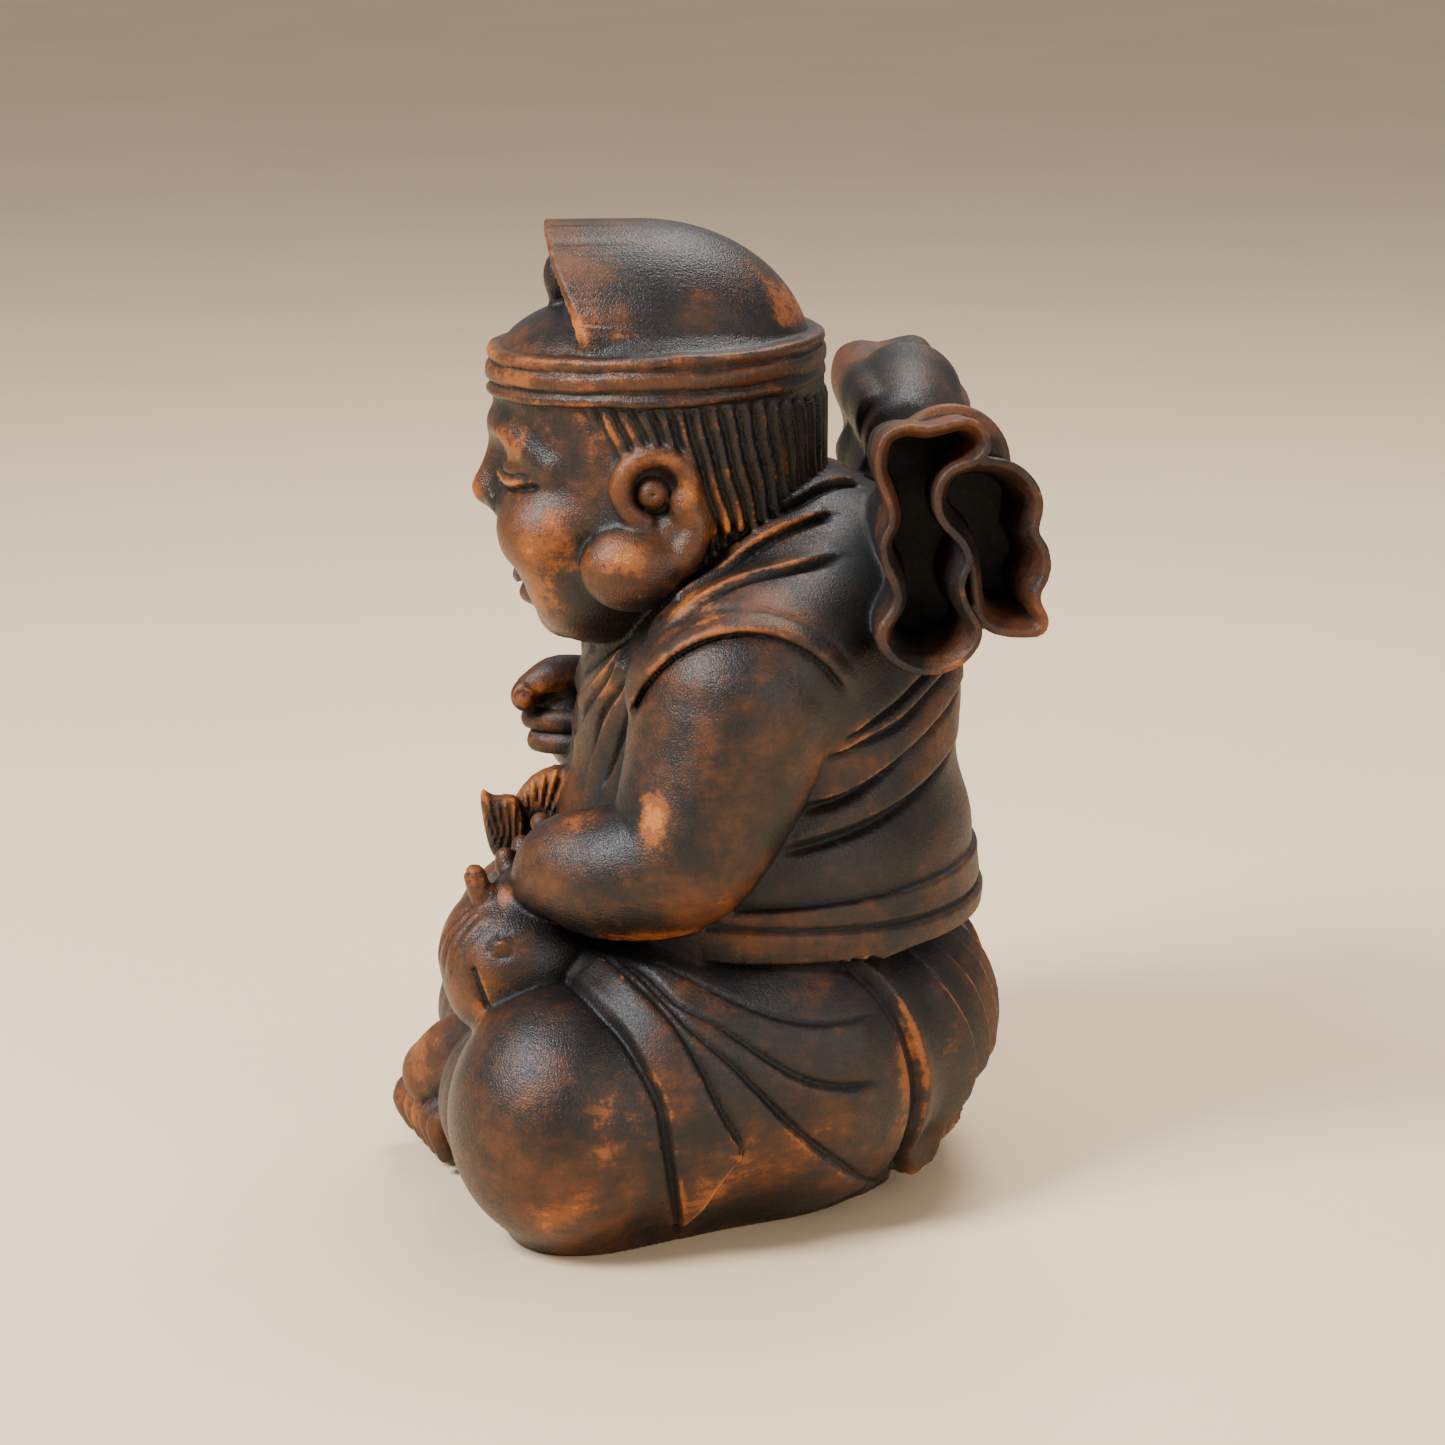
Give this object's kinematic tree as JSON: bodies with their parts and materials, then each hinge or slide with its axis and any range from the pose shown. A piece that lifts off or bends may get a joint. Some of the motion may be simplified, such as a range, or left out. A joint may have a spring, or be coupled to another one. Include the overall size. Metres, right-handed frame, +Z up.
{
  "type": "carved wooden figure",
  "caption": "Seated carved wooden lucky-god figure in a tall cap, a fish under the left arm and a raised right fist, with cloth bundles behind the shoulders.",
  "frame": {"origin": "middle of the bounding box at the level of the flat underside", "axes": "+Z up, -Y the way the figure faces, +X the figure's left, where the fish's head is"},
  "size_m": [0.2684, 0.2306, 0.35],
  "materials": {
    "stained_wood": "dark brown stain, satin, worn to copper brown on the raised edges"
  },
  "bodies": {
    "root": {"ebisu_figure": "stained_wood"}
  },
  "joints": []
}
